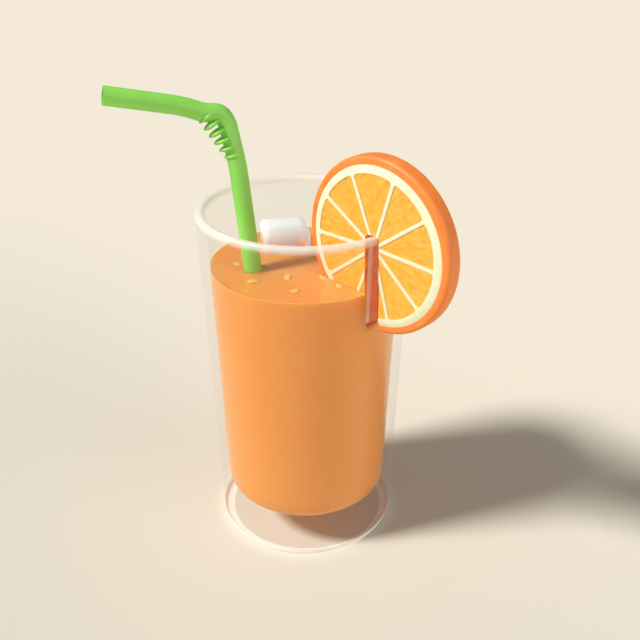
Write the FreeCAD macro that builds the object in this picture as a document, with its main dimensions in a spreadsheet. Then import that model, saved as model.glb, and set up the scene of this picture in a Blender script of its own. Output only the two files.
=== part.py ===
"""Tall glass of orange juice with a bent straw, an ice cube and an orange wheel on the rim.

Millimetres, +Z up.  The origin is the centre of the glass's underside, so the glass stands on z = 0.
Five separate pieces: glass, juice, straw, orange_slice, ice_cube.
"""
import FreeCAD, Part
import math
import os
import Sketcher

V = FreeCAD.Vector

# ---------------------------------------------------------------- driving dimensions
SIZES = {
    # glass: a plain tapered tumbler with a heavy base
    "glass_height": 142.7,
    "rim_radius": 41.95,        # outer, at the very top
    "foot_radius": 37.4,        # outer, where the wall's line meets the table
    "wall": 3.8,                # measured level
    "base_depth": 16.8,         # solid glass under the drink
    "rim_round": 1.87,
    "foot_round": 1.85,
    "floor_round": 4.0,
    # juice
    "fill_depth": 102.0,        # from the inner floor to the drink's surface
    "fit_gap": 0.1,             # between the drink and whatever it lies against
    # orange wheel, hung on the rim by a slit
    "wheel_radius": 33.0,
    "wheel_width": 8.4,
    "rind_round": 1.5,
    "wheel_azimuth": -46.4,
    "wheel_inset": 0.25,        # wheel centre, inward from the middle of the rim
    "slit_play": 0.25,          # least room between the slit and the wall, each side
    "slit_past_centre": 4.6,
    "slit_lean": 3.33,          # how far the slit is out of line with the wall
    "slit_round": 2.0,
    "hang_gap": 0.1,
    # straw
    "straw_radius": 3.5,
    "straw_wall": 0.4,
    "straw_azimuth": -108.5,    # where its foot stands on the inner floor
    "straw_foot_gap": 0.5,      # from the tube to the floor's rounded corner
    "straw_lean": 12.0,
    "straw_lean_azimuth": 123.2,
    "straw_spin": 75.5,         # turns the spout about the leg
    "pleat_proud": 0.25,        # how far the pleats' edges stand out of the tube's line
    "pleat_half": 1.15,
    "first_pleat_across": 0.89,  # pleat middles, in the straw's own plane
    "first_pleat_up": 148.42,
    "first_pleat_tilt": 8.0,
    "last_pleat_across": 8.87,
    "last_pleat_up": 163.9,
    "last_pleat_tilt": 36.0,
    # ice cube
    "ice_size": 19.5,
    "ice_corner": 3.6,          # upright corners
    "ice_round": 2.8,           # top and bottom edges
    "ice_azimuth": 113.5,
    "ice_wall_gap": 3.6,
    "ice_yaw": 9.0,
    "ice_above": 9.8,           # how far it stands out of the drink
}

# The straw's way from foot to tip: straight run, then a bend (turn in degrees, radius).
# A plus turn leans towards the spout.
STRAW_WAY = [
    (141.5, 5.5, 60.0),
    (11.5, 18.6, 8.0),
    (1.0, 56.6, 4.2),
    (2.5, -16.0, 15.0),
    (1.25, 10.5, 44.0),
    (24.3, 0.0, 0.0),
]
PLEATS = 6
NEARLY_HALF = 0.493     # a lip rounded by this share of its wall keeps a sliver of flat
OVERSHOOT = 5.0         # how far a cut runs past what it cuts

doc = FreeCAD.newDocument("orange_juice")
sheet = doc.addObject("Spreadsheet::Sheet", "sizes")


def fill_sheet():
    """One row per driving dimension: its name, and its value under that alias."""
    rows = dict(SIZES)
    for i, (run, turn, radius) in enumerate(STRAW_WAY, 1):
        rows[f"straw_run_{i}"] = run
        if turn:
            rows[f"straw_turn_{i}"] = abs(turn)
            rows[f"straw_bend_{i}"] = radius
    for row, (name, value) in enumerate(rows.items(), 1):
        sheet.set(f"A{row}", name)
        sheet.set(f"B{row}", str(value))
        sheet.setAlias(f"B{row}", name)
    doc.recompute()


def size(expression):
    """Value of an expression in the sheet's names."""
    return float(sheet.evalExpression(expression))


def inner_radius(height):
    """Expression for the glass's inside radius at a height, which is an expression too."""
    return f"(sizes.foot_radius - sizes.wall + {TAPER} * ({height}))"


TAPER = "(sizes.rim_radius - sizes.foot_radius) / sizes.glass_height"
FLOOR = "sizes.base_depth"
LEVEL = "(sizes.base_depth + sizes.fill_depth)"


# ---------------------------------------------------------------- helpers
def new_body(name):
    body = doc.addObject("PartDesign::Body", name)
    body.Label = name
    return body


def plane(body, role):
    return next(f for f in body.Origin.OriginFeatures if f.Role == role)


def new_sketch(body, name, role):
    sketch = body.newObject("Sketcher::SketchObject", name)
    sketch.AttachmentSupport = (plane(body, role), "")
    sketch.MapMode = "FlatFace"
    return sketch


def drive(sketch, kind, *what, by):
    """Add a dimension and bind it to an expression."""
    value = size(by)
    if kind == "Angle":
        value = math.radians(value)
    index = sketch.addConstraint(Sketcher.Constraint(kind, *what, value))
    sketch.setExpression(f"Constraints[{index}]", by)


def outline(body, name, role, corners):
    """Closed straight-sided sketch.  Each corner is a pair of expressions, "0" meaning on the axis."""
    sketch = new_sketch(body, name, role)
    spots = [V(size(x), size(y), 0) for x, y in corners]
    count = len(spots)
    for i in range(count):
        sketch.addGeometry(Part.LineSegment(spots[i], spots[(i + 1) % count]), False)
    for i in range(count):
        sketch.addConstraint(Sketcher.Constraint("Coincident", i, 2, (i + 1) % count, 1))
    for i, (x, y) in enumerate(corners):
        for axis, kind, along in ((-2, "DistanceX", x), (-1, "DistanceY", y)):
            if along == "0":
                sketch.addConstraint(Sketcher.Constraint("PointOnObject", i, 1, axis))
            else:
                drive(sketch, kind, -1, 1, i, 1, by=along)
    return sketch


def revolve(body, name, sketch):
    feature = body.newObject("PartDesign::Revolution", name)
    feature.Profile = sketch
    feature.ReferenceAxis = (sketch, ["V_Axis"])
    feature.Angle = 360.0
    doc.recompute()
    return feature


def round_rings(body, name, base, rings, radius):
    """Round the circular edges that match (radius, height) pairs of expressions."""
    wanted = [(size(r), size(z)) for r, z in rings]
    edges = []
    for i, edge in enumerate(base.Shape.Edges, 1):
        curve = edge.Curve
        if isinstance(curve, Part.Circle):
            for r, z in wanted:
                if abs(curve.Radius - r) < 0.01 and abs(curve.Center.z - z) < 0.01:
                    edges.append(f"Edge{i}")
    feature = body.newObject("PartDesign::Fillet", name)
    feature.Base = (base, edges)
    feature.setExpression("Radius", radius)
    doc.recompute()
    return feature


# ---------------------------------------------------------------- glass
def make_glass():
    body = new_body("glass")
    bore_top = inner_radius("sizes.glass_height")
    bore_floor = inner_radius(FLOOR)
    section = outline(body, "glass_section", "XZ_Plane", [
        ("0", "0"),
        ("sizes.foot_radius", "0"),
        ("sizes.rim_radius", "sizes.glass_height"),
        (bore_top, "sizes.glass_height"),
        (bore_floor, FLOOR),
        ("0", FLOOR),
    ])
    blank = revolve(body, "glass_blank", section)
    rim = [("sizes.rim_radius", "sizes.glass_height"), (bore_top, "sizes.glass_height")]
    lip = round_rings(body, "glass_lip", blank, rim, f"min(sizes.rim_round; sizes.wall * {NEARLY_HALF})")
    foot = round_rings(body, "glass_foot", lip, [("sizes.foot_radius", "0")], "sizes.foot_round")
    round_rings(body, "glass_floor", foot, [(bore_floor, FLOOR)], "sizes.floor_round")
    return body


# ---------------------------------------------------------------- straw
def straw_placement():
    """Foot on the inner floor, clear of its rounded corner; the leg along the straw's own Z."""
    lean = size("sizes.straw_lean")
    reach = size(f"{inner_radius(FLOOR)} - sizes.floor_round - sizes.straw_radius - sizes.straw_foot_gap")
    azimuth = math.radians(size("sizes.straw_azimuth"))
    lift = size("sizes.straw_radius") * math.sin(math.radians(lean))
    foot = V(reach * math.cos(azimuth), reach * math.sin(azimuth), size(f"{FLOOR} + sizes.fit_gap") + lift)
    up, side = V(0, 0, 1), V(0, 1, 0)
    turn = FreeCAD.Rotation(up, size("sizes.straw_lean_azimuth"))
    turn = turn.multiply(FreeCAD.Rotation(side, lean))
    turn = turn.multiply(FreeCAD.Rotation(up, size("sizes.straw_spin")))
    return FreeCAD.Placement(foot, turn)


def straw_route(body):
    """Sketch of the straw's centre line: straight runs joined by tangent arcs, up Z and over to +X."""
    sketch = new_sketch(body, "straw_route", "XZ_Plane")
    spot, heading, last = V(0, 0, 0), 0.0, None
    for i, (run, turn, radius) in enumerate(STRAW_WAY, 1):
        ahead = V(math.sin(heading), math.cos(heading), 0)
        end = spot + ahead * run
        line = sketch.addGeometry(Part.LineSegment(spot, end), False)
        if last is None:
            sketch.addConstraint(Sketcher.Constraint("Coincident", -1, 1, line, 1))
            sketch.addConstraint(Sketcher.Constraint("Vertical", line))
        else:
            sketch.addConstraint(Sketcher.Constraint("Tangent", *last, line, 1))
        drive(sketch, "Distance", line, by=f"sizes.straw_run_{i}")
        if not turn:
            break
        side = 1 if turn > 0 else -1
        sweep = math.radians(abs(turn))
        right = V(math.cos(heading), -math.sin(heading), 0) * side
        centre = end + right * radius
        start_angle = math.atan2(end.y - centre.y, end.x - centre.x)
        stop_angle = start_angle - side * sweep
        circle = Part.Circle(centre, V(0, 0, 1), radius)
        low, high = sorted((start_angle, stop_angle))
        arc = sketch.addGeometry(Part.ArcOfCircle(circle, low, high), False)
        near, far = (2, 1) if side > 0 else (1, 2)
        sketch.addConstraint(Sketcher.Constraint("Tangent", line, 2, arc, near))
        drive(sketch, "Radius", arc, by=f"sizes.straw_bend_{i}")
        drive(sketch, "Angle", arc, by=f"sizes.straw_turn_{i} * 1deg")
        heading += math.radians(turn)
        spot = centre + V(math.cos(stop_angle), math.sin(stop_angle), 0) * radius
        last = (arc, far)
    return sketch


def straw_pipe(body, kind, name, route, radius):
    ring = new_sketch(body, name + "_ring", "XY_Plane")
    ring.addGeometry(Part.Circle(V(0, 0, 0), V(0, 0, 1), size(radius)), False)
    ring.addConstraint(Sketcher.Constraint("Coincident", -1, 1, 0, 3))
    drive(ring, "Radius", 0, by=radius)
    pipe = body.newObject(kind, name)
    pipe.Profile = ring
    pipe.Spine = (route, [])
    doc.recompute()
    return pipe


def between(what, share):
    """A pleat's value, this share of the way from the first pleat to the last."""
    return size(f"sizes.first_{what} + (sizes.last_{what} - sizes.first_{what}) * {share}")


def make_straw():
    body = new_body("straw")
    route = straw_route(body)
    straw_pipe(body, "PartDesign::AdditivePipe", "straw_tube", route, "sizes.straw_radius")
    for i in range(PLEATS):
        across, up, tilt = (between("pleat_" + what, i / (PLEATS - 1)) for what in ("across", "up", "tilt"))
        middle = V(across, 0, up)
        pleat = body.newObject("PartDesign::AdditiveEllipsoid", f"pleat_{i + 1}")
        pleat.AttachmentSupport = (plane(body, "XY_Plane"), "")
        pleat.MapMode = "FlatFace"
        pleat.AttachmentOffset = FreeCAD.Placement(middle, FreeCAD.Rotation(V(0, 1, 0), tilt))
        pleat.setExpression("Radius1", "sizes.pleat_half")
        for radius in ("Radius2", "Radius3"):
            pleat.setExpression(radius, "sizes.straw_radius + sizes.pleat_proud")
        doc.recompute()
    bore = "sizes.straw_radius - sizes.straw_wall"
    straw_pipe(body, "PartDesign::SubtractivePipe", "straw_bore", route, bore)
    body.Placement = straw_placement()
    return body


# ---------------------------------------------------------------- orange wheel
def wheel_placement():
    """Own X outward along the radius, own Y up, own Z out of the face that looks back over the glass."""
    azimuth = size("sizes.wheel_azimuth")
    reach = size("sizes.rim_radius - sizes.wall / 2 - sizes.wheel_inset")
    height = size("sizes.glass_height + sizes.hang_gap - sizes.slit_past_centre")
    angle = math.radians(azimuth)
    spot = V(reach * math.cos(angle), reach * math.sin(angle), height)
    return FreeCAD.Placement(spot, FreeCAD.Rotation(azimuth, 0, 90))


def slit_placement(bow):
    """Halfway down the slit, in the middle of the room that the glass's curved wall takes there."""
    taper = size(TAPER)
    drop = size("(sizes.wheel_radius - sizes.slit_past_centre) / 2")
    below_rim = drop + size("sizes.slit_past_centre - sizes.hang_gap")
    across = size("sizes.wheel_inset") - taper * below_rim - bow / 2
    lean = size("sizes.slit_lean") - math.degrees(math.atan(taper))
    return FreeCAD.Placement(V(across, -drop, 0), FreeCAD.Rotation(V(0, 0, 1), lean))


def cut_slit(body):
    """Slit from below the wheel's edge to past its centre, wide enough for the glass's wall."""
    rim, half_width = size(inner_radius("sizes.glass_height")), size("sizes.wheel_width / 2")
    bow = rim - math.sqrt(rim ** 2 - half_width ** 2)
    high = "((sizes.wheel_radius + sizes.slit_past_centre) / 2)"
    low = f"({high} + {OVERSHOOT})"
    drift = f"{high} * tan(sizes.slit_lean * 1deg)"
    wide = f"(sizes.wall / 2 + {bow / 2} + {drift} + sizes.slit_play)"
    slit = new_sketch(body, "slice_slit", "XY_Plane")
    left, right, top, bottom = -size(wide), size(wide), size(high), -size(low)
    corners = [V(left, top, 0), V(left, bottom, 0), V(right, bottom, 0), V(right, top, 0)]
    for i in range(4):
        slit.addGeometry(Part.LineSegment(corners[i], corners[(i + 1) % 4]), False)
    for i in range(4):
        slit.addConstraint(Sketcher.Constraint("Coincident", i, 2, (i + 1) % 4, 1))
        slit.addConstraint(Sketcher.Constraint("Horizontal" if i % 2 else "Vertical", i))
    drive(slit, "DistanceX", 0, 1, -1, 1, by=wide)
    drive(slit, "DistanceX", -1, 1, 3, 1, by=wide)
    drive(slit, "DistanceY", -1, 1, 0, 1, by=high)
    drive(slit, "DistanceY", 2, 1, -1, 1, by=low)
    slit.AttachmentOffset = slit_placement(bow)
    cut = body.newObject("PartDesign::Pocket", "slice_cut")
    cut.Profile = slit
    cut.Type = "ThroughAll"
    cut.Midplane = True
    doc.recompute()
    return cut


def soften_slit(body, cut):
    """Round the two corners at the slit's inner end."""
    edges = []
    for i, edge in enumerate(cut.Shape.Edges, 1):
        across = edge.BoundBox.DiagonalLength
        if isinstance(edge.Curve, Part.Line) and abs(across - size("sizes.wheel_width")) < 0.01:
            edges.append(f"Edge{i}")
    soft = body.newObject("PartDesign::Fillet", "slice_slit_end")
    soft.Base = (cut, edges)
    soft.setExpression("Radius", "sizes.slit_round")
    doc.recompute()


def wheel_disc(name, gap):
    """The whole wheel, `gap` larger all round, about its own centre."""
    body = new_body(name)
    half = f"(sizes.wheel_width / 2 + {gap})"
    radius = f"(sizes.wheel_radius + {gap})"
    section = outline(body, name + "_section", "XZ_Plane", [
        ("0", f"-{half}"),
        (radius, f"-{half}"),
        (radius, half),
        ("0", half),
    ])
    disc = revolve(body, name + "_disc", section)
    edges = [(radius, half), (radius, f"-{half}")]
    round_rings(body, name + "_rind", disc, edges, "sizes.rind_round")
    body.Placement = wheel_placement()
    return body


def make_wheel():
    body = wheel_disc("orange_slice", "0")
    soften_slit(body, cut_slit(body))
    return body


# ---------------------------------------------------------------- ice cube
def ice_placement():
    azimuth = math.radians(size("sizes.ice_azimuth"))
    level = inner_radius(LEVEL)
    reach = size(f"{level} - sizes.ice_wall_gap - sizes.ice_size * {math.sqrt(0.5)}")
    height = size(f"{LEVEL} + sizes.ice_above - sizes.ice_size / 2")
    spot = V(reach * math.cos(azimuth), reach * math.sin(azimuth), height)
    return FreeCAD.Placement(spot, FreeCAD.Rotation(V(0, 0, 1), size("sizes.ice_yaw")))


def make_ice(name, gap):
    """Rounded cube about its own centre, or the room for it in the drink."""
    body = new_body(name)
    side = f"(sizes.ice_size + 2 * {gap})"
    block = body.newObject("PartDesign::AdditiveBox", name + "_block")
    for edge in ("Length", "Width", "Height"):
        block.setExpression(edge, side)
    block.AttachmentSupport = (plane(body, "XY_Plane"), "")
    block.MapMode = "FlatFace"
    half = size(side) / 2
    block.AttachmentOffset = FreeCAD.Placement(V(-half, -half, -half), FreeCAD.Rotation())
    doc.recompute()
    upright, level = [], []
    for i, edge in enumerate(block.Shape.Edges, 1):
        if edge.BoundBox.ZLength > half:
            upright.append(f"Edge{i}")
    corners = body.newObject("PartDesign::Fillet", name + "_corners")
    corners.Base = (block, upright)
    corners.setExpression("Radius", "sizes.ice_corner")
    doc.recompute()
    for i, edge in enumerate(corners.Shape.Edges, 1):
        if edge.BoundBox.ZLength < 0.01:
            level.append(f"Edge{i}")
    soft = body.newObject("PartDesign::Fillet", name + "_soft")
    soft.Base = (corners, level)
    soft.setExpression("Radius", "sizes.ice_round")
    doc.recompute()
    body.Placement = ice_placement()
    return body


# ---------------------------------------------------------------- juice
def make_juice():
    """The drink up to its level, less the room for the straw, the wheel and the ice."""
    fill = new_body("juice_fill")
    edge_floor = f"{inner_radius(FLOOR)} - sizes.fit_gap"
    edge_level = f"{inner_radius(LEVEL)} - sizes.fit_gap"
    section = outline(fill, "juice_section", "XZ_Plane", [
        ("0", FLOOR),
        (edge_floor, FLOOR),
        (edge_level, LEVEL),
        ("0", LEVEL),
    ])
    blank = revolve(fill, "juice_blank", section)
    round_rings(fill, "juice_corner", blank, [(edge_floor, FLOOR)], "sizes.floor_round")

    straw_room = doc.addObject("Part::Cylinder", "straw_room")
    straw_room.setExpression("Radius", "sizes.straw_radius + sizes.fit_gap")
    straw_room.setExpression("Height", "2 * sizes.fill_depth")   # comes out at both ends
    below = size("2 * sizes.straw_radius")
    straw_room.Placement = straw_placement().multiply(FreeCAD.Placement(V(0, 0, -below), FreeCAD.Rotation()))
    rooms = [straw_room, wheel_disc("wheel_room", "sizes.fit_gap"), make_ice("ice_room", "sizes.fit_gap")]
    drink = fill
    for room in rooms:
        cut = doc.addObject("Part::Cut", "juice_round_" + room.Name)
        cut.Base = drink
        cut.Tool = room
        drink = cut
    doc.recompute()
    drink.Label = "juice"
    return drink


# ---------------------------------------------------------------- build, check, write
fill_sheet()
pieces = [make_glass(), make_straw(), make_wheel(), make_ice("ice_cube", "0"), make_juice()]
doc.recompute()

for thing in doc.Objects:
    if {"Invalid", "Error"} & set(thing.State):
        raise RuntimeError(f"{thing.Label} failed: {thing.State}")
for piece in pieces:
    shape = piece.Shape
    if shape.isNull() or not shape.isValid() or len(shape.Solids) != 1:
        raise RuntimeError(f"{piece.Label} isn't one valid solid")

os.makedirs("parts", exist_ok=True)
for piece in pieces:
    piece.Shape.exportStep(f"parts/{piece.Label}.step")
    box = piece.Shape.BoundBox
    print(f"{piece.Label:13s} {piece.Shape.Volume / 1000:8.2f} cm3  z {box.ZMin:7.2f} to {box.ZMax:7.2f}")
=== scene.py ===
# %% [markdown]
# # A glass of orange juice
#
# A tall tumbler stands on a pale floor.  It holds orange juice with a few flakes of pulp, one ice
# cube and a bent green straw, and an orange wheel hangs on its rim.  The glass and the straw come
# from the construction model with their shapes final, so they only need a finish.  The juice, the
# wheel, the ice and the pulp are soft or uneven things, so each is modelled here.

# %% The frame and the scale
import math
import random

import bmesh
import bpy
from mathutils import Matrix, Vector, noise
from mathutils.bvhtree import BVHTree
from mathutils.geometry import delaunay_2d_cdt


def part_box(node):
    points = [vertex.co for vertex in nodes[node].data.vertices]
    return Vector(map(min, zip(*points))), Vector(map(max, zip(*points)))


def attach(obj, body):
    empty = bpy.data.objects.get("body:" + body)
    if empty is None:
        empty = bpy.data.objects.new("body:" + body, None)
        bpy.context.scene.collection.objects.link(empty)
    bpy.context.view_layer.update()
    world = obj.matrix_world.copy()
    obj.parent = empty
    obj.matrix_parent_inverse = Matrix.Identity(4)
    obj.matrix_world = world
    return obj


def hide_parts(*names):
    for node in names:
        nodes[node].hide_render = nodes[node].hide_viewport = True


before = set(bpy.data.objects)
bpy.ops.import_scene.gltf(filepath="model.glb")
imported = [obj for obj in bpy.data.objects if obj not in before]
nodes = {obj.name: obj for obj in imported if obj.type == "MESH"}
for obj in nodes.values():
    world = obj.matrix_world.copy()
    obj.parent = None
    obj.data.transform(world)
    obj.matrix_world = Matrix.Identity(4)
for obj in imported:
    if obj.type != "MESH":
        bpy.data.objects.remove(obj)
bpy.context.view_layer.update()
scene = bpy.context.scene
MM = 0.001
print("nodes:", sorted(nodes))

# %% [markdown]
# ## Camera
#
# The view looks down on the glass from the height of somebody's eyes at a table, so that the
# drink's surface shows as an ellipse.  It comes first because every later choice is judged
# through it.

# %% Camera
camera_data = bpy.data.cameras.new("camera")
camera_data.lens = 46.956
camera_data.sensor_width = 36.0
camera = bpy.data.objects.new("camera", camera_data)
camera.location = (0.0, -0.3046877, 0.2535182)
camera.rotation_euler = (math.radians(62.2494), 0.0, math.radians(-1.1577))
scene.collection.objects.link(camera)
scene.camera = camera
print("camera:", [round(v, 3) for v in camera.location], "metres")

# %% [markdown]
# ## Light
#
# A soft lamp high on the left gives one broad shadow that falls to the right and a little back.
# The world's even light and a faint, very wide lamp on the right fill that shadow.  The world is
# faint as a light, but where the camera sees past the floor it is as pale as the floor.  The
# colours are shown without a film curve, so a pale floor stays pale and orange stays orange.

# %% Light
scene.view_settings.view_transform = "Standard"
scene.view_settings.look = "None"


def add_lamp(name, azimuth, height, spread, strength, colour):
    """A far lamp: where it stands (degrees from +X, and up), how wide it looks, how strong."""
    lamp = bpy.data.lights.new(name, "SUN")
    lamp.angle = math.radians(spread)
    lamp.energy = strength
    lamp.color = colour
    holder = bpy.data.objects.new(name, lamp)
    turn, rise = math.radians(azimuth), math.radians(height)
    way = Vector((math.cos(turn) * math.cos(rise), math.sin(turn) * math.cos(rise), math.sin(rise)))
    holder.rotation_euler = (-way).to_track_quat("-Z", "Y").to_euler()
    scene.collection.objects.link(holder)
    print(f"{name}: from {azimuth} degrees, {height} up, {spread} wide")


add_lamp("key", 193.5, 45.0, 12.0, 3.5, (1.0, 0.99, 0.97))
add_lamp("low_fill", -35.0, 12.0, 50.0, 1.15, (1.0, 0.99, 0.98))

world = bpy.data.worlds.new("studio")
scene.world = world
world.use_nodes = True
sky = world.node_tree.nodes["Background"]
seen = world.node_tree.nodes.new("ShaderNodeLightPath").outputs["Is Camera Ray"]
SKY = {     # socket: what it gives as light, what it shows past the floor's edge
    "Color": ((1.0, 0.985, 0.96, 1.0), (0.888, 0.807, 0.665, 1.0)),
    "Strength": ((0.2, 0.2, 0.2, 1.0), (1.0, 1.0, 1.0, 1.0)),
}
for socket, (lights, shows) in SKY.items():
    choose = world.node_tree.nodes.new("ShaderNodeMix")
    choose.data_type = "RGBA"
    choose.inputs["A"].default_value = lights
    choose.inputs["B"].default_value = shows
    world.node_tree.links.new(seen, choose.inputs["Factor"])
    world.node_tree.links.new(choose.outputs["Result"], sky.inputs[socket])
print("world: faint light, pale where the camera looks past the floor")

# %% [markdown]
# ## Tools for materials
#
# Every finish here starts from the same few moves: a new material, a node, a link, a colour.
# Short helpers keep each finish readable.  Colours are given as they look on a screen and turned
# into the linear values that light is worked out in.

# %% Material helpers
def linear(code):
    """Linear colour from a screen colour such as "ff9944"."""
    found = []
    for i in (0, 2, 4):
        value = int(code[i:i + 2], 16) / 255.0
        found.append(value / 12.92 if value <= 0.04045 else ((value + 0.055) / 1.055) ** 2.4)
    return (*found, 1.0)


class Finish:
    """A new node material with its Principled shader and output at hand."""

    def __init__(self, name):
        self.material = bpy.data.materials.new(name)
        self.material.use_nodes = True
        self.tree = self.material.node_tree
        self.shader = self.tree.nodes["Principled BSDF"]
        self.output = self.tree.nodes["Material Output"]

    def node(self, kind, **settings):
        made = self.tree.nodes.new(kind)
        for name, value in settings.items():
            setattr(made, name, value)
        return made

    def link(self, source, target):
        self.tree.links.new(source, target)

    def plain(self, **values):
        """Sets the shader's own sockets, such as Roughness=0.4; an underscore means a space."""
        for name, value in values.items():
            self.shader.inputs[name.replace("_", " ")].default_value = value

    def group(self, tree, **values):
        made = self.node("ShaderNodeGroup")
        made.node_tree = tree
        for name, value in values.items():
            made.inputs[name.replace("_", " ")].default_value = value
        return made


# %% [markdown]
# ## A shared effect: mottled colour
#
# Fruit, drink, ice and even moulded plastic are never one flat colour.  One node group mixes two
# colours by a soft noise, and also gives that noise out, to vary roughness or height.  Each
# material sets its own scale and colours.

# %% The mottle group
def build_mottle():
    group = bpy.data.node_groups.new("mottle", "ShaderNodeTree")
    face = group.interface
    face.new_socket("Position", in_out="INPUT", socket_type="NodeSocketVector")
    face.new_socket("Scale", in_out="INPUT", socket_type="NodeSocketFloat").default_value = 100.0
    face.new_socket("Contrast", in_out="INPUT", socket_type="NodeSocketFloat").default_value = 2.0
    face.new_socket("Dark", in_out="INPUT", socket_type="NodeSocketColor")
    face.new_socket("Light", in_out="INPUT", socket_type="NodeSocketColor")
    face.new_socket("Colour", in_out="OUTPUT", socket_type="NodeSocketColor")
    face.new_socket("Mask", in_out="OUTPUT", socket_type="NodeSocketFloat")
    nodes_in = group.nodes
    start = nodes_in.new("NodeGroupInput")
    end = nodes_in.new("NodeGroupOutput")
    cloud = nodes_in.new("ShaderNodeTexNoise")
    cloud.inputs["Detail"].default_value = 4.0
    steep = nodes_in.new("ShaderNodeMath")
    steep.operation = "MULTIPLY_ADD"
    centre = nodes_in.new("ShaderNodeMath")
    centre.operation = "SUBTRACT"
    centre.inputs[1].default_value = 0.5
    steep.inputs[2].default_value = 0.5
    steep.use_clamp = True
    mix = nodes_in.new("ShaderNodeMix")
    mix.data_type = "RGBA"
    link = group.links.new
    link(start.outputs["Position"], cloud.inputs["Vector"])
    link(start.outputs["Scale"], cloud.inputs["Scale"])
    link(cloud.outputs["Fac"], centre.inputs[0])
    link(centre.outputs[0], steep.inputs[0])
    link(start.outputs["Contrast"], steep.inputs[1])
    link(steep.outputs[0], mix.inputs["Factor"])
    link(start.outputs["Dark"], mix.inputs["A"])
    link(start.outputs["Light"], mix.inputs["B"])
    link(mix.outputs["Result"], end.inputs["Colour"])
    link(steep.outputs[0], end.inputs["Mask"])
    return group


mottle = build_mottle()
print("mottle group with", len(mottle.nodes), "nodes")


def mottled(name, dark, light, scale, contrast=2.0, bump=0.0, grain=None):
    """A material whose colour wanders between two, with a fine relief of `bump` metres."""
    finish = Finish(name)
    place = finish.node("ShaderNodeTexCoord")
    cloud = finish.group(mottle, Scale=scale, Contrast=contrast, Dark=linear(dark),
                         Light=linear(light))
    finish.link(place.outputs["Object"], cloud.inputs["Position"])
    finish.link(cloud.outputs["Colour"], finish.shader.inputs["Base Color"])
    if bump:
        relief = finish.node("ShaderNodeBump")
        relief.inputs["Distance"].default_value = bump
        fine = finish.node("ShaderNodeTexNoise")
        fine.inputs["Scale"].default_value = grain or scale
        fine.inputs["Detail"].default_value = 3.0
        finish.link(place.outputs["Object"], fine.inputs["Vector"])
        finish.link(fine.outputs["Fac"], relief.inputs["Height"])
        finish.link(relief.outputs["Normal"], finish.shader.inputs["Normal"])
    return finish


# %% [markdown]
# ## Floor
#
# One wide plane is floor and backdrop at once.  It gets slightly paler with distance and to the
# right, the way a lit paper sweep does: painted light, a colour ramp that runs aslant across the
# floor.

# %% Floor
FLOOR_DROP = 0.02 * MM         # the floor lies a hair under the glass: the two share no plane
bpy.ops.mesh.primitive_plane_add(size=12.0, location=(0.0, 3.0, -FLOOR_DROP))
floor = bpy.context.object
floor.name = "floor"
paper = Finish("floor_paper")
where = paper.node("ShaderNodeNewGeometry")
along = paper.node("ShaderNodeMapRange", interpolation_type="SMOOTHSTEP")
along.inputs["From Min"].default_value = -0.2
along.inputs["From Max"].default_value = 0.3
aslant = paper.node("ShaderNodeVectorMath", operation="DOT_PRODUCT")
aslant.inputs[1].default_value = (0.7, 1.0, 0.0)
paper.link(where.outputs["Position"], aslant.inputs[0])
paper.link(aslant.outputs["Value"], along.inputs["Value"])
# Painted light: darker at the near left, paler to the back and the right, standing in for the
# lamps' fall-off.
painted_falloff_ramp = paper.node("ShaderNodeMix", data_type="RGBA")
painted_falloff_ramp.inputs["A"].default_value = linear("dad6c7")
painted_falloff_ramp.inputs["B"].default_value = linear("eee5d4")
paper.link(along.outputs["Result"], painted_falloff_ramp.inputs["Factor"])
paper.link(painted_falloff_ramp.outputs["Result"], paper.shader.inputs["Base Color"])
paper.plain(Roughness=0.9)
paper.shader.inputs["Specular IOR Level"].default_value = 0.1
floor.data.materials.append(paper.material)
print("floor:", [round(v, 1) for v in floor.dimensions[:2]], "metres")

# %% [markdown]
# ## Tools for shapes
#
# A few moves make most modelled pieces: spinning a profile about an axis, cutting one closed
# mesh with another, and turning the result into an object that shades smoothly but keeps its
# real edges.  Cutting leaves a few corners that nearly meet, and they are merged away where they
# would leave faces without area.  Copies and hulls of the construction model make the cutters.

# %% Spun shapes
def spin(profile, segments, closed=False):
    """Solid of revolution about Z; the profile is (radius, height), axis to axis or a loop."""
    bm = bmesh.new()
    rings = []
    for radius, height in profile:
        if radius < 1e-9:
            rings.append([bm.verts.new((0.0, 0.0, height))])
            continue
        turns = (2.0 * math.pi * k / segments for k in range(segments))
        places = [(radius * math.cos(a), radius * math.sin(a), height) for a in turns]
        rings.append([bm.verts.new(place) for place in places])
    pairs = list(zip(rings, rings[1:]))
    if closed:
        pairs.append((rings[-1], rings[0]))
    for low, high in pairs:
        for k in range(segments):
            loop = ((low, k), (low, k + 1), (high, k + 1), (high, k))
            corners = [ring[j % len(ring)] for ring, j in loop]
            bm.faces.new(dict.fromkeys(corners))    # at the axis two corners are one
    bmesh.ops.recalc_face_normals(bm, faces=bm.faces)
    return bm


def arc(centre, radius, start, stop, steps):
    """Points of an arc, angles in degrees."""
    angles = (math.radians(start + (stop - start) * i / steps) for i in range(steps + 1))
    return [(centre[0] + radius * math.cos(a), centre[1] + radius * math.sin(a)) for a in angles]


def disc_profile(radius, half, edge):
    """Disc with rounded rims, as a profile from the axis to the axis."""
    low = arc((radius - edge, -half + edge), edge, -90.0, 0.0, 6)
    high = arc((radius - edge, half - edge), edge, 0.0, 90.0, 6)
    return [(0.0, -half)] + low + high + [(0.0, half)]


# %% Objects and their sharp edges
def make_object(name, bm, sharp=40.0):
    """Uses up the bmesh; edges that turn by more than `sharp` degrees stay sharp."""
    mesh = bpy.data.meshes.new(name)
    bm.to_mesh(mesh)
    bm.free()
    mesh.shade_smooth()
    mesh.set_sharp_from_angle(angle=math.radians(sharp))
    piece = bpy.data.objects.new(name, mesh)
    scene.collection.objects.link(piece)
    return piece


def tell(piece):
    size = [round(v / MM, 1) for v in piece.dimensions]
    print(f"{piece.name}: {len(piece.data.polygons)} faces, {size} mm")


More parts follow.
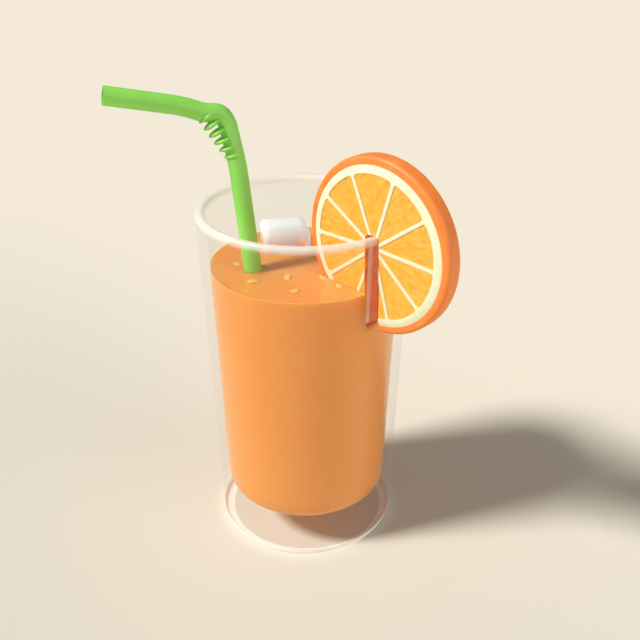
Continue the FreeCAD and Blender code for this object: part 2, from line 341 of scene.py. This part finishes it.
# %% Cutting
def carve(piece, cutter):
    """Takes the cutter's room out of the piece and removes the cutter."""
    step = piece.modifiers.new("carve", "BOOLEAN")
    step.operation = "DIFFERENCE"
    step.solver = "MANIFOLD"
    step.object = cutter
    finished = piece.evaluated_get(bpy.context.evaluated_depsgraph_get())
    mesh = bpy.data.meshes.new_from_object(finished)
    piece.modifiers.clear()
    piece.data = mesh
    mesh.name = piece.name
    bpy.data.objects.remove(cutter)


def drop_slivers(piece):
    """Merges corners that nearly meet, and removes faces without area and corners with no turn."""
    bm = bmesh.new()
    bm.from_mesh(piece.data)
    bmesh.ops.remove_doubles(bm, verts=bm.verts, dist=0.002 * MM)
    bmesh.ops.dissolve_degenerate(bm, dist=0.001 * MM, edges=bm.edges)
    bmesh.ops.dissolve_verts(bm, verts=[v for v in bm.verts if len(v.link_edges) == 2])
    bm.to_mesh(piece.data)
    print(f"{piece.name}: {sum(len(e.link_faces) != 2 for e in bm.edges)} open edges")
    bm.free()


# %% Copies and hulls
def joined_copy(node):
    """A bmesh of a CAD node with its doubled corners merged, so that it is closed."""
    bm = bmesh.new()
    bm.from_mesh(nodes[node].data)
    bmesh.ops.remove_doubles(bm, verts=bm.verts, dist=0.001 * MM)
    return bm


def hull(points):
    bm = bmesh.new()
    for point in points:
        bm.verts.new(point)
    found = bmesh.ops.convex_hull(bm, input=bm.verts)
    spare = set(found["geom_interior"]) | set(found["geom_unused"])
    spare = [v for v in spare if isinstance(v, bmesh.types.BMVert)]
    bmesh.ops.delete(bm, geom=spare, context="VERTS")
    bmesh.ops.recalc_face_normals(bm, faces=bm.faces)
    return bm


def shrink(bm, depth):
    """Moves every point inward along its normal."""
    bm.normal_update()
    moves = [(v, v.normal * depth) for v in bm.verts]
    for vert, move in moves:
        vert.co -= move


# %% [markdown]
# ## Orange wheel: its own axes
#
# The wheel stands upright on the rim and lies along the glass's radius.  Everything on it is
# easier to say in the wheel's own axes: X outward, Y up, Z out of the face that looks at the
# viewer.  The wheel's box gives its middle, and its middle gives the direction.

# %% Wheel axes
WHEEL_RADIUS = 33.0 * MM
WHEEL_WIDTH = 8.4 * MM
slice_low, slice_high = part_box("orange_slice")
middle = (slice_low + slice_high) / 2.0
wheel_centre = Vector((middle.x, middle.y, slice_high.z - WHEEL_RADIUS))
outward = Vector((middle.x, middle.y, 0.0)).normalized()
upward = Vector((0.0, 0.0, 1.0))
facing = outward.cross(upward)
wheel_turn = Matrix((outward, upward, facing)).transposed().to_4x4()
wheel_frame = Matrix.Translation(wheel_centre) @ wheel_turn
print("wheel centre, mm:", [round(v / MM, 2) for v in wheel_centre])

# %% [markdown]
# ## Glass
#
# The tumbler is thick, plain and very clear.  A glass shader that bends light would magnify the
# drink until it filled the wall, so the wall is made as a clear sheet instead: mostly a
# see-through shader, with a mirror-like shine that grows towards the edges of the view.  The
# fire-polished lip and the foot catch the light and look white: a painted highlight, a pale,
# slightly rough shader mixed in by masks of height and radius.  A fainter painted highlight lies
# on the glass seen edge-on, and on the wall's inner face in the wheel's slit.

# %% Glass helpers
FOOT_RADIUS, RIM_RADIUS, WALL = 37.4 * MM, 41.95 * MM, 3.8 * MM
glass_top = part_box("glass")[1].z


def inner_radius(height):
    """Inside radius of the glass at a height, both in metres."""
    return FOOT_RADIUS - WALL + (RIM_RADIUS - FOOT_RADIUS) * height / glass_top


def range_mask(finish, value, low, high):
    """0 at `low` and beyond, 1 at `high` and beyond, soft between; either may be the larger."""
    step = finish.node("ShaderNodeMapRange", interpolation_type="SMOOTHSTEP")
    step.inputs["From Min"].default_value = low
    step.inputs["From Max"].default_value = high
    finish.link(value, step.inputs["Value"])
    return step.outputs["Result"]


def calc(finish, operation, first, second):
    """A Math node on two numbers or sockets."""
    made = finish.node("ShaderNodeMath", operation=operation)
    for socket, value in zip(made.inputs, (first, second)):
        if isinstance(value, (int, float)):
            socket.default_value = value
        else:
            finish.link(value, socket)
    return made.outputs[0]


# %% A painted highlight in the slit
SLIT_HIGHLIGHT_SPAN = (2.0 * MM, WHEEL_WIDTH / 2.0)    # from where to where it lies across the wheel
SLIT_HIGHLIGHT_SOFT = 0.25 * MM
SLIT_HIGHLIGHT_LIFT = 1.5 * MM                    # how far above the wheel's lowest point it starts
WHEEL_SIDE = (20.0 * MM, 30.0 * MM)     # out from the axis: nowhere else but at the wheel
INNER_FACE = 0.5 * MM                   # how deep into the wall still counts as its inner face


def distance_along(finish, place, direction):
    """How far a point lies along a direction from the glass's axis."""
    along = finish.node("ShaderNodeVectorMath", operation="DOT_PRODUCT")
    along.inputs[1].default_value = direction
    finish.link(place.outputs["Position"], along.inputs[0])
    return along.outputs["Value"]


def slit_highlight_mask(finish, place, height, out):
    """Where the wall runs through the wheel's slit: a pale painted highlight on the wall's inner
    face.
    """
    across = distance_along(finish, place, facing)
    start, past = (range_mask(finish, across, edge - SLIT_HIGHLIGHT_SOFT, edge + SLIT_HIGHLIGHT_SOFT) for edge in SLIT_HIGHLIGHT_SPAN)
    strip = calc(finish, "SUBTRACT", start, past)
    near = range_mask(finish, distance_along(finish, place, outward), *WHEEL_SIDE)
    bottom = slice_low.z + SLIT_HIGHLIGHT_LIFT
    high = range_mask(finish, height, bottom, bottom + SLIT_HIGHLIGHT_SOFT)
    inner = calc(finish, "LESS_THAN", out, inner_radius(glass_top) + INNER_FACE)
    mask = calc(finish, "MULTIPLY", strip, near)
    for other in (high, inner):
        mask = calc(finish, "MULTIPLY", mask, other)
    return mask


# %% Glass finish
LIP = (3.2 * MM, 1.4 * MM)              # the painted highlight on the lip begins between these depths under its top
FOOT_TOP = (2.4 * MM, 3.6 * MM)         # the painted highlight on the foot fades out between these heights
FOOT_INSIDE = (33.0 * MM, 33.8 * MM)    # and between these radii, inwards
PAINTED_HIGHLIGHT_STRENGTH = {"lip": 0.52, "foot": 0.95, "slit_highlight": 0.7, "edge_sheen": 0.2}     # strength of each painted highlight, 0 to 1
MIRROR, MIRROR_EDGE = 0.02, 0.06        # shine straight on, and what the edge of the view adds
SHADOW_FADE = 0.85                      # how much of all that a shadow leaves out


def painted_highlight_share(finish, place, grazing):
    """Share of the pale shader, a painted highlight: at the lip, the foot, the slit, and faintly
    seen edge-on.
    """
    split = finish.node("ShaderNodeSeparateXYZ")
    finish.link(place.outputs["Position"], split.inputs["Vector"])
    height = split.outputs["Z"]
    level = finish.node("ShaderNodeVectorMath", operation="MULTIPLY")
    level.inputs[1].default_value = (1.0, 1.0, 0.0)
    finish.link(place.outputs["Position"], level.inputs[0])
    length = finish.node("ShaderNodeVectorMath", operation="LENGTH")
    finish.link(level.outputs[0], length.inputs[0])
    out = length.outputs["Value"]
    above = range_mask(finish, height, *FOOT_TOP)
    outside = range_mask(finish, out, *FOOT_INSIDE)
    masks = {
        "lip": range_mask(finish, height, *(glass_top - depth for depth in LIP)),
        "foot": calc(finish, "MULTIPLY", calc(finish, "SUBTRACT", 1.0, above), outside),
        # Painted sheen: seen edge-on, the pale shader stands in for the bright reflections at the
        # glass's edges.
        "edge_sheen": grazing,
        "slit_highlight": slit_highlight_mask(finish, place, height, out),
    }
    painted_highlight = 0.0
    for name, mask in masks.items():
        painted_highlight = calc(finish, "MAXIMUM", painted_highlight, calc(finish, "MULTIPLY", mask, PAINTED_HIGHLIGHT_STRENGTH[name]))
    return painted_highlight


def mixed(finish, share, first, second):
    mix = finish.node("ShaderNodeMixShader")
    finish.link(share, mix.inputs["Fac"])
    finish.link(first, mix.inputs[1])
    finish.link(second, mix.inputs[2])
    return mix.outputs[0]


def glass_finish():
    finish = Finish("clear_glass")
    # The Principled shader is the pale one: a painted highlight wherever the masks put it.
    finish.plain(Base_Color=linear("fffaf2"), Roughness=0.25)
    place = finish.node("ShaderNodeNewGeometry")
    aside = finish.node("ShaderNodeLayerWeight").outputs["Facing"]
    grazing = calc(finish, "POWER", aside, 5.0)
    shadow = finish.node("ShaderNodeLightPath").outputs["Is Shadow Ray"]
    kept = calc(finish, "SUBTRACT", 1.0, calc(finish, "MULTIPLY", shadow, SHADOW_FADE))
    painted_highlight = calc(finish, "MULTIPLY", painted_highlight_share(finish, place, grazing), kept)
    shine = calc(finish, "ADD", calc(finish, "MULTIPLY", grazing, MIRROR_EDGE), MIRROR)
    shine = calc(finish, "MULTIPLY", shine, kept)

    clear = finish.node("ShaderNodeBsdfTransparent")
    clear.inputs["Color"].default_value = (0.972, 0.975, 0.972, 1.0)
    gloss = finish.node("ShaderNodeBsdfGlossy")
    gloss.inputs["Roughness"].default_value = 0.04
    wall = mixed(finish, shine, clear.outputs[0], gloss.outputs[0])
    # Painted highlight: the pale shader mixed over the clear wall.
    whole = mixed(finish, painted_highlight, wall, finish.shader.outputs[0])
    finish.link(whole, finish.output.inputs["Surface"])
    return finish.material


def dress(node, material):
    for slot in nodes[node].material_slots:
        slot.material = material
    print(f"{node}: finished in {material.name}")


dress("glass", glass_finish())

# %% [markdown]
# ## Juice
#
# The drink is a solid that fills the glass.  It could be the construction model's own solid, but
# that one stays a hair clear of the wall, and its surface is flat.  This one reaches just into
# the wall, so no air gap shows, and its surface climbs a little where it wets the wall, the
# straw, the ice and the fruit.  It is spun as fine rings, lifted by the distance to the nearest
# wetted thing, and then carved round them.  The wheel's room is a plain disc, so that its slit
# holds no drink.

# %% Juice shape
juice_low, juice_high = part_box("juice")
surface = juice_high.z
REACH = 0.05 * MM              # how far the drink reaches into what it touches
CLIMB = 0.75 * MM              # height of the wetted edge
CLIMB_WIDTH = 1.0 * MM         # how fast it falls off
FLOOR_ROUND = 4.0 * MM         # radius inside the glass, where wall and base meet
EDGE_RINGS = [0.12, 0.3, 0.5, 0.8, 1.1, 1.5, 2.0, 2.6, 3.2]     # millimetres in from the wall
SIDE_RINGS, TOP_RINGS, AROUND = 24, 48, 224


def juice_profile():
    """Half outline of the drink, from the axis at its floor to the axis at its surface."""
    base = juice_low.z - REACH
    side = inner_radius(base) + REACH
    corner = (side - FLOOR_ROUND, base + FLOOR_ROUND)
    points = [(0.0, base)] + arc(corner, FLOOR_ROUND, -90.0, 0.0, 10)
    for i in range(1, SIDE_RINGS + 1):
        height = base + FLOOR_ROUND + (surface - base - FLOOR_ROUND) * i / SIDE_RINGS
        points.append((inner_radius(height) + REACH, height))
    edge = points[-1][0]
    points += [(edge - step * MM, surface) for step in EDGE_RINGS]
    last = points[-1][0]
    points += [(last * (1.0 - i / TOP_RINGS), surface) for i in range(1, TOP_RINGS + 1)]
    return points


# %% The wetted edge
wetted = [BVHTree.FromObject(nodes[name], bpy.context.evaluated_depsgraph_get())
          for name in ("straw", "ice_cube", "orange_slice")]


def climb(x, y):
    """How far the surface stands above its level at a place."""
    near = inner_radius(surface) - math.hypot(x, y)
    for tree in wetted:
        found = tree.find_nearest(Vector((x, y, surface)))
        near = min(near, found[3])
    return CLIMB * math.exp(-max(near, 0.0) / CLIMB_WIDTH)


def build_juice():
    bm = spin(juice_profile(), AROUND)
    for vert in bm.verts:
        if vert.co.z > surface - 0.01 * MM:
            vert.co.z += climb(vert.co.x, vert.co.y)
    return make_object("juice_fill", bm)


# %% Room for what stands in the drink
LEG_TOP = 157.0 * MM           # the straw is straight below this


def leg_room():
    """Solid of the straw's straight leg, from the corners of its two ends."""
    leg = [v.co for v in nodes["straw"].data.vertices if v.co.z < LEG_TOP]
    return make_object("leg_room", hull(leg))


def room_of(node, depth):
    bm = joined_copy(node)
    shrink(bm, depth)
    return make_object(node + "_room", bm)


def wheel_room():
    """The whole wheel as a disc, a little smaller than the wheel, so that no gap shows."""
    disc = disc_profile(WHEEL_RADIUS - 0.1 * MM, WHEEL_WIDTH / 2.0 - 0.35 * MM, 1.2 * MM)
    bm = spin(disc, 200)
    bm.transform(wheel_frame)
    return make_object("wheel_room", bm)


juice = build_juice()
for cutter in (leg_room(), wheel_room(), room_of("ice_cube", REACH)):
    carve(juice, cutter)
drop_slivers(juice)
juice.data.set_sharp_from_angle(angle=math.radians(40.0))
tell(juice)

# %% [markdown]
# ## Juice finish
#
# Fresh juice is cloudy: light goes a few millimetres in and comes back orange.  Subsurface
# scattering does that, with red going furthest.  A slow mottle keeps the colour alive, and the
# wet surface is glossy.

# %% Juice finish
juice_look = mottled("juice", "ff9f4a", "ffa752", 45.0, contrast=1.6)
juice_look.plain(Roughness=0.22, Subsurface_Weight=0.6, Subsurface_Scale=0.01,
                 Subsurface_Radius=(1.0, 0.45, 0.15))
juice.data.materials.clear()
juice.data.materials.append(juice_look.material)
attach(juice, "root")
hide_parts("juice")

# %% [markdown]
# ## Orange wheel: cut from rind, pith and flesh
#
# A real wheel is a thin coloured rind, a white pith under it, white walls between the segments,
# and flesh made of hundreds of long juice sacs.  A picture on a disc would show the lines but not
# the relief, so the three parts are separate meshes: a rind ring, a pith disc with a window for
# every segment, and the flesh set slightly lower in the windows, each sac a little pillow.  The
# pith's rim slopes down to the rind, whose faces lie lowest.

# %% Segment windows
PITH_RADIUS = 29.9 * MM
WINDOW_RADIUS = 26.9 * MM
RIND_DROP = 0.8 * MM           # how far the rind's faces lie below the flesh's
MEMBRANE = 1.3 * MM            # thickness of the walls between the segments
WALLS = [358.4, 36.4, 73.3, 114.2, 149.5, 182.2, 217.7, 249.6, 286.7, 321.4]    # degrees from X
OUTER_ROUND = 1.1 * MM         # radius of a window's two outer corners
APEX_ROUND = 0.25 * MM         # and of the one near the wheel's middle


def polar(radius, degrees):
    turn = math.radians(degrees)
    return (radius * math.cos(turn), radius * math.sin(turn))


def window(start, stop, grow=0.0):
    """Outline of one segment between two walls, counter-clockwise, `grow` larger all round."""
    half = MEMBRANE / 2.0 - grow
    rim = WINDOW_RADIUS + grow
    inset = rim - OUTER_ROUND
    lean = math.degrees(math.asin((half + OUTER_ROUND) / inset))
    first, last = start + lean, stop - lean
    points = arc(polar(inset, first), OUTER_ROUND, start - 90.0, first, 5)
    points += arc((0.0, 0.0), rim, first, last, 26)[1:-1]
    points += arc(polar(inset, last), OUTER_ROUND, last, stop + 90.0, 5)
    far = (half + APEX_ROUND) / math.sin(math.radians(stop - start) / 2.0)
    tip = polar(far, (start + stop) / 2.0)
    return points + arc(tip, APEX_ROUND, stop + 90.0, start + 270.0, 4)


def windows(grow=0.0):
    starts = sorted(a % 360.0 for a in WALLS)
    stops = starts[1:] + [starts[0] + 360.0]
    return [window(a, b, grow) for a, b in zip(starts, stops)]


print("segments:", len(windows()))

# %% Juice sacs
SAC_LENGTH = 6.5 * MM
SAC_TURN = math.radians(5.2)   # how wide a sac is, seen from the wheel's middle
SAC_RISE = 0.3 * MM
FLESH_DROP = 0.42 * MM         # the seams lie this far below the wheel's face
STEP = 0.55 * MM               # spacing of the flesh's mesh


def sac(x, y, side):
    """0 in the seams between the juice sacs, 1 on their backs."""
    radius, turn = math.hypot(x, y), math.atan2(y, x) % (2.0 * math.pi)
    wander = noise.noise(Vector((x, y, side)) * 90.0) * 0.35
    place = Vector((turn / SAC_TURN + wander, radius / SAC_LENGTH, 7.3 * side))
    distances = noise.voronoi(place)[0]
    return min(1.0, (distances[1] - distances[0]) * 2.2)


def densify(loop, longest):
    """The loop with its long sides divided."""
    found = []
    for a, b in zip(loop, loop[1:] + loop[:1]):
        across, up = b[0] - a[0], b[1] - a[1]
        parts = max(1, math.ceil(math.dist(a, b) / longest))
        found += [(a[0] + across * i / parts, a[1] + up * i / parts) for i in range(parts)]
    return found


def inside(loop, x, y):
    """Whether a point lies inside the outline, by counting the sides to its right."""
    odd = False
    for (ax, ay), (bx, by) in zip(loop, loop[1:] + loop[:1]):
        if (ay > y) != (by > y) and x < (bx - ax) * (y - ay) / (by - ay) + ax:
            odd = not odd
    return odd


# %% Flesh
def scattered(rim, draw):
    """Points on a loose grid inside the outline, none of them right at its edge."""
    xs, ys = [p[0] for p in rim], [p[1] for p in rim]
    middle_x, middle_y = sum(xs) / len(xs), sum(ys) / len(ys)
    shrunk = [(x * 0.985 + middle_x * 0.015, y * 0.985 + middle_y * 0.015) for x, y in rim]
    spots = []
    y = min(ys)
    while y < max(ys):
        x = min(xs)
        while x < max(xs):
            spot = (x + draw.uniform(-0.3, 0.3) * STEP, y + draw.uniform(-0.3, 0.3) * STEP)
            if inside(shrunk, *spot):
                spots.append(spot)
            x += STEP
        y += STEP * 0.87
    return spots


def segment_mesh(bm, loop, seed):
    """Adds one closed segment of flesh to the bmesh, with pillowed sacs on both faces."""
    rim = densify(loop, STEP)
    flat = [Vector(p) for p in rim + scattered(rim, random.Random(seed))]
    found, _, faces, *_ = delaunay_2d_cdt(flat, [], [list(range(len(rim)))], 1, 1e-7)
    sheets = []
    for side in (1, -1):
        level = side * (WHEEL_WIDTH / 2.0 - FLESH_DROP)
        verts = []
        for i, p in enumerate(found):
            height = level if i < len(rim) else level + side * SAC_RISE * sac(p.x, p.y, side)
            verts.append(bm.verts.new((p.x, p.y, height)))
        for face in faces:
            corners = [verts[i] for i in face]
            bm.faces.new(corners if side > 0 else corners[::-1])
        sheets.append(verts)
    top, bottom = sheets
    for i in range(len(rim)):
        j = (i + 1) % len(rim)
        bm.faces.new((top[i], bottom[i], bottom[j], top[j]))


def build_flesh():
    bm = bmesh.new()
    for seed, loop in enumerate(windows(grow=REACH)):
        segment_mesh(bm, loop, seed)
    bmesh.ops.recalc_face_normals(bm, faces=bm.faces)
    return make_object("orange_flesh", bm, sharp=60.0)


flesh = build_flesh()
tell(flesh)

# %% Pith disc with its windows
def prisms(loops, half):
    """Closed upright prisms on the outlines, in one bmesh."""
    bm = bmesh.new()
    for loop in loops:
        low = [bm.verts.new((x, y, -half)) for x, y in loop]
        high = [bm.verts.new((x, y, half)) for x, y in loop]
        bm.faces.new(high)
        bm.faces.new(low[::-1])
        for i in range(len(loop)):
            j = (i + 1) % len(loop)
            bm.faces.new((low[i], low[j], high[j], high[i]))
    return bm


PITH_DROP = 0.06 * MM          # the pith's face lies this far below the construction model's
PITH_SLOPE = [                 # radius, and how far the face has dropped there
    (WINDOW_RADIUS + 0.5 * MM, 0.0), (WINDOW_RADIUS + 1.1 * MM, 0.08 * MM),
    (PITH_RADIUS + REACH, RIND_DROP),
]


def build_pith():
    """Disc whose rim slopes down to the rind on both faces."""
    half = WHEEL_WIDTH / 2.0 - PITH_DROP
    low = [(radius, drop - half) for radius, drop in PITH_SLOPE]
    high = [(radius, half - drop) for radius, drop in reversed(PITH_SLOPE)]
    piece = make_object("orange_pith", spin([(0.0, -half)] + low + high + [(0.0, half)], 240))
    carve(piece, make_object("windows", prisms(windows(), WHEEL_WIDTH)))
    return piece


pith = build_pith()
tell(pith)

# %% Rind ring
RIND_ROUND = 1.5 * MM          # radius of the ring's outer edges


def build_rind():
    """Ring with a rounded outside and a skin that is a little uneven."""
    half, inset = WHEEL_WIDTH / 2.0 - RIND_DROP, WHEEL_RADIUS - RIND_ROUND
    low = arc((inset, -half + RIND_ROUND), RIND_ROUND, -90.0, 0.0, 8)
    high = arc((inset, half - RIND_ROUND), RIND_ROUND, 0.0, 90.0, 8)
    start, height = low[-1][1], high[0][1] - low[-1][1]
    rise = [(WHEEL_RADIUS, start + height * i / 8) for i in range(1, 8)]
    profile = [(PITH_RADIUS, -half)] + low + rise + high + [(PITH_RADIUS, half)]
    bm = spin(profile, 420, closed=True)
    for vert in bm.verts:
        if math.hypot(vert.co.x, vert.co.y) > inset:
            dent = noise.noise(vert.co * 420.0) * 0.06 - 0.05
            vert.co.xy *= 1.0 + dent * MM / WHEEL_RADIUS
    return make_object("orange_rind", bm, sharp=50.0)


rind = build_rind()
tell(rind)

# %% [markdown]
# ## Orange wheel: the slit
#
# A straight cut from the rim to just past the centre lets the wheel sit on the glass.  The
# construction model has that cut already, so its corners are read from there: the convex hull of
# the slit's corners, drawn out along the wheel's axis and downwards, cuts all three parts.

# %% The slit
SLIT_AREA = 5.0 * MM           # the slit lies this near the middle line, and below this height
SLIT_MOUTH = 3.6 * MM          # at the rind its corners are this near the middle line
SLIT_END = 2.0 * MM            # above this height a face across the wheel is the slit's end


def slit_room():
    """Solid of the slit, longer and deeper than the slit itself."""
    back = wheel_frame.inverted()
    corners = []
    for vert in nodes["orange_slice"].data.vertices:
        p = back @ vert.co
        deep = math.hypot(p.x, p.y) < WHEEL_RADIUS - 1.6 * MM
        if p.y < SLIT_AREA and abs(p.x) < (SLIT_AREA if deep else SLIT_MOUTH):
            corners.append(p)
    sides = [Vector((p.x, p.y, WHEEL_WIDTH * side)) for p in corners for side in (-1, 1)]
    lowest = min(p.y for p in corners)
    feet = [p - Vector((0.0, 4.0 * MM, 0.0)) for p in sides if p.y < lowest + 3.0 * MM]
    return make_object("slit_room", hull(sides + feet))


def mark_cut_faces(piece):
    """Gives the slit's own faces the second finish.

    They stand across the wheel's face, near its middle line and not on its rim.
    """
    for face in piece.data.polygons:
        x, y, _ = face.center
        near = y < SLIT_AREA and abs(x) < SLIT_AREA
        in_slit = near and math.hypot(x, y) < WHEEL_RADIUS - 1.0 * MM
        upright = abs(face.normal.z) < 0.2
        if in_slit and upright and (abs(face.normal.x) > 0.97 or y > SLIT_END):
            face.material_index = 1


for piece in (rind, pith, flesh):
    carve(piece, slit_room())
    piece.data.set_sharp_from_angle(angle=math.radians(50.0))
    piece.data.materials.clear()
    tell(piece)

# %% [markdown]
# ## Orange wheel: finishes
#
# Rind: bright orange, with fine pores and a low shine.  Pith: soft, matt and cream white.
# Flesh: wet and glassy, yellow-orange.  The slit's own faces are a deeper orange, which is painted
# shade, with a faint painted glow that stands for the light that comes through the thin fruit.

# %% Wheel finishes
rind_look = mottled("rind", "ff8330", "ff9742", 160.0, contrast=2.2)
rind_look.plain(Roughness=0.48, Subsurface_Weight=0.15, Subsurface_Scale=0.002,
                Subsurface_Radius=(1.0, 0.4, 0.1), Coat_Weight=0.06, Coat_Roughness=0.3)
pores = rind_look.node("ShaderNodeTexVoronoi")
pores.inputs["Scale"].default_value = 900.0
pits = rind_look.node("ShaderNodeBump", invert=True)
pits.inputs["Distance"].default_value = 0.12 * MM
pits.inputs["Strength"].default_value = 0.6
deep = range_mask(rind_look, pores.outputs["Distance"], 0.45, 0.05)
rind_place = rind_look.node("ShaderNodeTexCoord")
rind_look.link(rind_place.outputs["Object"], pores.inputs["Vector"])
rind_look.link(deep, pits.inputs["Height"])
rind_look.link(pits.outputs["Normal"], rind_look.shader.inputs["Normal"])

pith_look = mottled("pith", "fbf3c4", "fffbd8", 300.0, bump=0.08 * MM, grain=1400.0)
pith_look.plain(Roughness=0.7, Subsurface_Weight=0.3, Subsurface_Scale=0.003,
                Subsurface_Radius=(1.0, 0.85, 0.6))

flesh_look = mottled("flesh", "ffb035", "ffc352", 350.0, contrast=2.5)
flesh_look.plain(Roughness=0.2, Subsurface_Weight=0.35, Subsurface_Scale=0.003,
                 Subsurface_Radius=(1.0, 0.6, 0.15))

# Painted shade and glow: the slit's faces are a darker copy of the flesh, and a faint emission
# glows in them.
cut_shade_glow_look = mottled("cut_flesh_painted_shade_glow", "ee6c26", "ff8232", 260.0, contrast=2.5, bump=0.15 * MM,
                   grain=500.0)
cut_shade_glow_look.plain(Roughness=0.4, Subsurface_Weight=0.5, Subsurface_Scale=0.008,
               Subsurface_Radius=(1.0, 0.35, 0.06), Emission_Color=linear("ff8434"),
               Emission_Strength=0.1)

for piece, look in ((rind, rind_look), (pith, pith_look), (flesh, flesh_look)):
    piece.data.materials.append(look.material)
    piece.data.materials.append(cut_shade_glow_look.material)
    mark_cut_faces(piece)
    piece.data.transform(wheel_frame)
    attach(piece, "root")
    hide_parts("orange_slice")

# %% [markdown]
# ## Ice
#
# An ice cube that has sat in a drink for a minute has soft, slightly uneven edges and faces that
# are no longer flat.  A finely divided cube is pulled onto a rounded box of the same size as the
# construction model's, and a slow noise dents it inward.

# %% Ice shape
ice_low, ice_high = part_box("ice_cube")
ice_centre = (ice_low + ice_high) / 2.0
ICE_HALF = 9.75 * MM
ICE_ROUND = 2.9 * MM           # radius of the melted edges
ICE_YAW = math.radians(9.0)


def build_ice():
    bm = bmesh.new()
    bmesh.ops.create_cube(bm, size=2.0)
    bmesh.ops.subdivide_edges(bm, edges=bm.edges, cuts=23, use_grid_fill=True)
    core = ICE_HALF - ICE_ROUND
    for vert in bm.verts:
        p = vert.co * ICE_HALF
        near = Vector([max(-core, min(core, v)) for v in p])
        away = (p - near).normalized()
        p = near + away * ICE_ROUND
        melt = 0.1 + 0.16 * noise.noise(p * 110.0) + 0.07 * noise.noise(p * 300.0)
        vert.co = p - away * max(melt, 0.0) * MM
    bm.transform(Matrix.Translation(ice_centre) @ Matrix.Rotation(ICE_YAW, 4, "Z"))
    return make_object("ice_melted", bm, sharp=180.0)


ice = build_ice()
tell(ice)

# %% Ice finish
CLOUDY = {"below": 0.5, "above": 0.27, "edges": 0.18}    # how cloudy, and what is added to it
CLEARING = (4.0 * MM, 7.5 * MM)         # the change lies between these heights over the drink
ICE_SHADOW = 0.5                        # how much of the cloud a shadow leaves out


def ice_finish():
    """Cloudy white ice with a faint painted glow; its lower part, near the drink, lets more of the
    drink show through.
    """
    finish = mottled("ice", "e8faff", "f6ffff", 120.0, bump=0.15 * MM, grain=260.0)
    # The faint emission is a painted glow that brightens the ice.
    finish.plain(Roughness=0.15, Subsurface_Weight=1.0, Subsurface_Scale=0.012, IOR=1.31,
                 Subsurface_Radius=(0.8, 1.0, 1.0),
                 Emission_Color=linear("e8f6ff"), Emission_Strength=0.07)
    clear = finish.node("ShaderNodeBsdfTransparent")
    edge = finish.node("ShaderNodeLayerWeight")
    edge.inputs["Blend"].default_value = 0.35
    aslant = range_mask(finish, edge.outputs["Facing"], 0.0, 0.9)
    place = finish.node("ShaderNodeNewGeometry")
    split = finish.node("ShaderNodeSeparateXYZ")
    finish.link(place.outputs["Position"], split.inputs["Vector"])
    upper = range_mask(finish, split.outputs["Z"], *(surface + height for height in CLEARING))
    cover = calc(finish, "ADD", calc(finish, "MULTIPLY", upper, CLOUDY["above"]), CLOUDY["below"])
    cover = calc(finish, "ADD", calc(finish, "MULTIPLY", aslant, CLOUDY["edges"]), cover)
    shadow = finish.node("ShaderNodeLightPath").outputs["Is Shadow Ray"]
    kept = calc(finish, "SUBTRACT", 1.0, calc(finish, "MULTIPLY", shadow, ICE_SHADOW))
    cover = calc(finish, "MULTIPLY", cover, kept)
    whole = mixed(finish, cover, clear.outputs[0], finish.shader.outputs[0])
    finish.link(whole, finish.output.inputs["Surface"])
    return finish.material


ice.data.materials.append(ice_finish())
print("ice: cloudy, see-through near the drink")
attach(ice, "root")
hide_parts("ice_cube")

# %% [markdown]
# ## Straw
#
# The straw is a thin plastic tube: an even green, a soft shine, and light that goes a little
# way in.  Its shape, with the pleated bend, is final, so it only gets its finish.

# %% Straw finish
straw_look = mottled("straw_green", "8ee257", "9cea66", 90.0, contrast=1.2)
straw_look.plain(Roughness=0.4, Subsurface_Weight=0.12, Subsurface_Scale=0.002,
                 Subsurface_Radius=(0.8, 1.0, 0.4))
dress("straw", straw_look.material)

# %% [markdown]
# ## Pulp
#
# A few flakes of pulp float on the surface.  Each is a real little piece: a flat uneven pad,
# under a millimetre thick, half sunk in the juice.  They are built into one mesh.

# %% Pulp
FLAKES = [      # place and length, in millimetres
    (-26.6, -0.7, 4.3), (-15.0, -3.4, 4.2), (-19.8, -17.0, 4.2), (-6.5, -13.7, 5.4),
    (-3.8, -25.6, 4.6), (7.0, -14.0, 4.0), (13.0, -21.8, 4.4),
]
FLAKE_SIDES = 10
FLAKE_LIFT = 0.12              # millimetres from the drink's surface up to a flake's middle
FLAKE_RINGS = ((1.0, 0.0), (0.86, 0.28), (0.45, 0.42))   # share of its width, half its height


def flake(bm, x, y, length, seed):
    """Adds one pad of pulp: an uneven outline, domed above and below."""
    draw = random.Random(seed)
    stretch = draw.uniform(0.5, 0.7)
    swing = draw.uniform(0.0, math.pi)
    rings = []
    for share, height in FLAKE_RINGS:
        for side in ((1,) if share == 1.0 else (1, -1)):
            ring = []
            for k in range(FLAKE_SIDES):
                turn = 2.0 * math.pi * k / FLAKE_SIDES
                spot = Vector((math.cos(turn), math.sin(turn), seed * 3.1))
                far = length / 2.0 * share * (1.0 + 0.75 * noise.noise(spot * 3.2))
                px, py = far * math.cos(turn), far * math.sin(turn) * stretch
                ring.append(bm.verts.new(((x + px * math.cos(swing) - py * math.sin(swing)) * MM,
                                          (y + px * math.sin(swing) + py * math.cos(swing)) * MM,
                                          surface + (FLAKE_LIFT + side * height) * MM)))
            rings.append(ring)
    edge, high, low, top, bottom = rings
    for a, b in ((edge, high), (high, top), (low, edge), (bottom, low)):
        for k in range(FLAKE_SIDES):
            j = (k + 1) % FLAKE_SIDES
            bm.faces.new((a[k], a[j], b[j], b[k]))
    bm.faces.new(top)
    bm.faces.new(bottom[::-1])


pulp_mesh = bmesh.new()
for seed, (x, y, length) in enumerate(FLAKES):
    flake(pulp_mesh, x, y, length, seed)
bmesh.ops.recalc_face_normals(pulp_mesh, faces=pulp_mesh.faces)
pulp = make_object("pulp", pulp_mesh, sharp=28.0)
pulp_look = mottled("pulp", "ffbc58", "ffd080", 900.0, bump=0.1 * MM, grain=1500.0)
pulp_look.plain(Roughness=0.35, Subsurface_Weight=0.3, Subsurface_Scale=0.002)
pulp.data.materials.append(pulp_look.material)
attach(pulp, "root")
tell(pulp)
